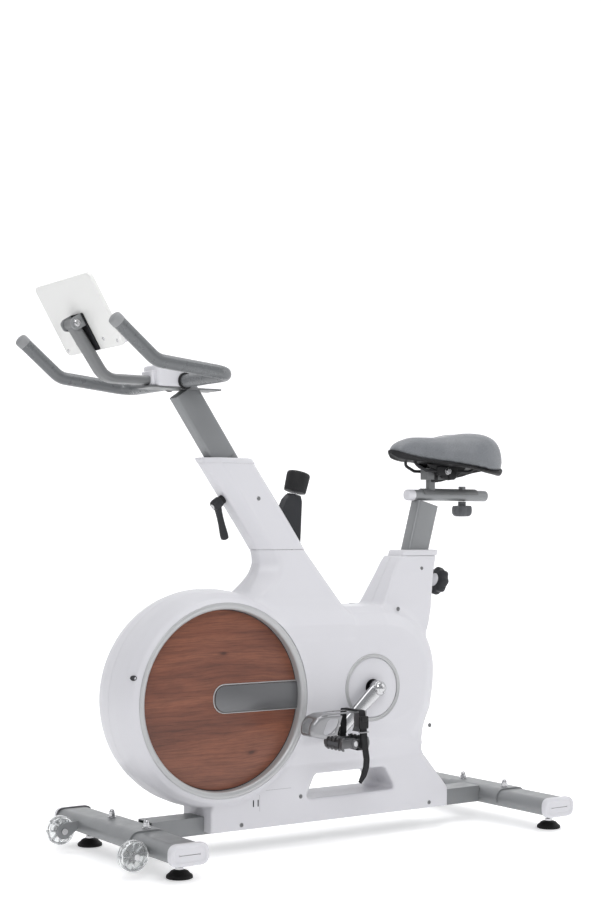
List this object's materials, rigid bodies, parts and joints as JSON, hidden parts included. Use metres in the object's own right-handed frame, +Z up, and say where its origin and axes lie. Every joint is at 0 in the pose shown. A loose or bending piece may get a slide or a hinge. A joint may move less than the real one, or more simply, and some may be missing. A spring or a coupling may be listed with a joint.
{
  "type": "exercise bike",
  "caption": "Upright exercise bike with an enclosed flywheel drum, belt drive, sliding stem and saddle post, fore and aft saddle slide, tablet tray, levelling feet and transport wheels.",
  "frame": {"origin": "on the floor, under the middle of the bike's length and width", "axes": "+X towards the handlebar end, +Y to the rider's left, +Z up"},
  "size_m": [1.1865, 0.53, 1.2116],
  "materials": {
    "grey_paint": "satin powder coat",
    "black_metal": "satin",
    "white_abs": "satin white moulding",
    "silver_trim": "silver metallic coating",
    "wood_panel": "satin walnut veneer",
    "grey_trim": "satin metallic grey",
    "chrome_part": "polished",
    "steel": "zinc plated",
    "cast": "machined rim",
    "belt": "matt",
    "foot_rubber": "satin rubber",
    "clear_plastic": "clear polycarbonate",
    "black_plastic": "fine grain",
    "charcoal_plastic": "fine grain",
    "grip_grey": "foam and paint, mid grey",
    "strap_black": "moulded strap",
    "seat_leather": "fine grained leatherette",
    "bright_plate": "polished plate"
  },
  "bodies": {
    "frame": {"main_beam": "grey_paint", "frame_posts": "grey_paint", "front_stabilizer": "grey_paint", "rear_stabilizer": "grey_paint", "front_bracket": "grey_paint", "rear_bracket": "grey_paint", "stabilizer_end_caps": "white_abs", "base_fasteners": "steel", "wheel_brackets": "grey_paint", "left_shell": "white_abs", "right_shell": "white_abs", "neck_cover": "white_abs", "sleeve_collars": "white_abs", "left_drum_ring": "silver_trim", "right_drum_ring": "silver_trim", "left_wood_disc": "wood_panel", "right_wood_disc": "wood_panel", "drum_tongues": "grey_trim", "crank_rings": "silver_trim", "shell_screws": "black_metal", "bearings": "steel", "flywheel_axle": "steel", "drive_belt": "belt", "tension_cable": "belt", "knob_housing": "charcoal_plastic"},
    "flywheel_body": {"flywheel": "cast"},
    "crankset": {"crank_axle": "steel", "drive_pulley": "charcoal_plastic", "left_crank": "chrome_part", "right_crank": "chrome_part", "pedal_spindles": "chrome_part"},
    "left_pedal": {"left_pedal_body": "charcoal_plastic", "left_toe_cage": "bright_plate", "left_pedal_strap": "strap_black"},
    "right_pedal": {"right_pedal_body": "charcoal_plastic", "right_toe_cage": "bright_plate", "right_pedal_strap": "strap_black"},
    "brake": {"brake_carrier": "steel"},
    "knob_spindle": {"tension_spindle": "steel"},
    "knob": {"resistance_knob": "black_plastic"},
    "stem": {"stem_post": "grey_paint", "head_plate": "grey_paint", "console_box": "white_abs", "handlebar": "grip_grey", "tablet_arm": "grey_paint"},
    "tray": {"tablet_tray": "white_abs", "tray_bracket": "black_metal"},
    "clamp_lever": {"stem_clamp_lever": "charcoal_plastic"},
    "saddle_post": {"seat_post": "grey_paint"},
    "post_knob": {"seat_knob": "black_plastic"},
    "slider": {"saddle_slider": "grey_paint"},
    "slide_knob": {"slider_knob": "charcoal_plastic"},
    "saddle": {"saddle_frame": "black_plastic", "saddle_cushion": "seat_leather"},
    "left_wheel": {"left_transport_wheel": "clear_plastic"},
    "right_wheel": {"right_transport_wheel": "clear_plastic"},
    "foot_fl": {"front_left_foot": "foot_rubber"},
    "foot_fr": {"front_right_foot": "foot_rubber"},
    "foot_rl": {"rear_left_foot": "foot_rubber"},
    "foot_rr": {"rear_right_foot": "foot_rubber"}
  },
  "joints": [
    {"name": "flywheel_spin", "type": "hinge", "parent": "frame", "child": "flywheel_body", "pos_m": [0.2451, 0, 0.3349], "axis": [0, 1, 0], "continuous": true},
    {"name": "crank_spin", "type": "hinge", "parent": "frame", "child": "crankset", "pos_m": [-0.1427, 0, 0.3424], "axis": [0, 1, 0], "continuous": true},
    {"name": "left_pedal_spin", "type": "hinge", "parent": "crankset", "child": "left_pedal", "pos_m": [-0.00874, 0.17, 0.23774], "axis": [0, 1, 0], "continuous": true},
    {"name": "right_pedal_spin", "type": "hinge", "parent": "crankset", "child": "right_pedal", "pos_m": [-0.27666, -0.17, 0.44706], "axis": [0, 1, 0], "continuous": true},
    {"name": "resistance_turn", "type": "hinge", "parent": "knob_spindle", "child": "knob", "pos_m": [0.0153, 0, 0.776], "axis": [-0.2605, 0, 0.9655], "range_deg": [0, 720]},
    {"name": "emergency_press", "type": "slide", "parent": "frame", "child": "knob_spindle", "axis": [-0.2605, 0, 0.9655], "range_m": [-0.006, 0], "stiffness_N_per_m": 900, "springref_m": 0.002},
    {"name": "brake_swing", "type": "hinge", "parent": "frame", "child": "brake", "pos_m": [0.0523, 0, 0.418], "axis": [0, 1, 0], "range_deg": [0, 3]},
    {"name": "stem_height", "type": "slide", "parent": "frame", "child": "stem", "axis": [0.5664, 0, 0.8241], "range_m": [-0.12, 0.05]},
    {"name": "tray_tilt", "type": "hinge", "parent": "stem", "child": "tray", "pos_m": [0.5633, 0, 1.121], "axis": [0, 1, 0], "range_deg": [0, 40]},
    {"name": "stem_clamp_turn", "type": "hinge", "parent": "frame", "child": "clamp_lever", "pos_m": [0.212, 0, 0.75891], "axis": [0.8241, 0, -0.5664], "range_deg": [-150, 150]},
    {"name": "saddle_height", "type": "slide", "parent": "frame", "child": "saddle_post", "axis": [-0.2672, 0, 0.9636], "range_m": [-0.09, 0.07]},
    {"name": "post_knob_turn", "type": "hinge", "parent": "frame", "child": "post_knob", "pos_m": [-0.36941, 0, 0.57651], "axis": [-0.9636, 0, -0.2672], "range_deg": [-180, 180]},
    {"name": "saddle_slide", "type": "slide", "parent": "saddle_post", "child": "slider", "axis": [1, 0, 0], "range_m": [-0.03, 0.04]},
    {"name": "slide_knob_turn", "type": "hinge", "parent": "slider", "child": "slide_knob", "pos_m": [-0.4727, 0, 0.744], "axis": [0, 0, 1], "range_deg": [-180, 180]},
    {"name": "saddle_tilt", "type": "hinge", "parent": "slider", "child": "saddle", "pos_m": [-0.4047, 0, 0.838], "axis": [0, 1, 0], "range_deg": [-8, 8]},
    {"name": "left_wheel_spin", "type": "hinge", "parent": "frame", "child": "left_wheel", "pos_m": [0.5123, 0.167, 0.0485], "axis": [0, 1, 0], "continuous": true},
    {"name": "right_wheel_spin", "type": "hinge", "parent": "frame", "child": "right_wheel", "pos_m": [0.5123, -0.167, 0.0485], "axis": [0, 1, 0], "continuous": true},
    {"name": "front_left_foot_turn", "type": "hinge", "parent": "frame", "child": "foot_fl", "pos_m": [0.4248, 0.1995, 0.008], "axis": [0, 0, 1], "range_deg": [-180, 180]},
    {"name": "front_right_foot_turn", "type": "hinge", "parent": "frame", "child": "foot_fr", "pos_m": [0.4248, -0.1995, 0.008], "axis": [0, 0, 1], "range_deg": [-180, 180]},
    {"name": "rear_left_foot_turn", "type": "hinge", "parent": "frame", "child": "foot_rl", "pos_m": [-0.5663, 0.2049, 0.008], "axis": [0, 0, 1], "range_deg": [-180, 180]},
    {"name": "rear_right_foot_turn", "type": "hinge", "parent": "frame", "child": "foot_rr", "pos_m": [-0.5663, -0.2049, 0.008], "axis": [0, 0, 1], "range_deg": [-180, 180]}
  ],
  "couplings": [
    {"joint": "crank_spin", "follows": "flywheel_spin", "ratio": 0.25},
    {"joint": "brake_swing", "follows": "resistance_turn", "ratio": 0.0041667}
  ]
}
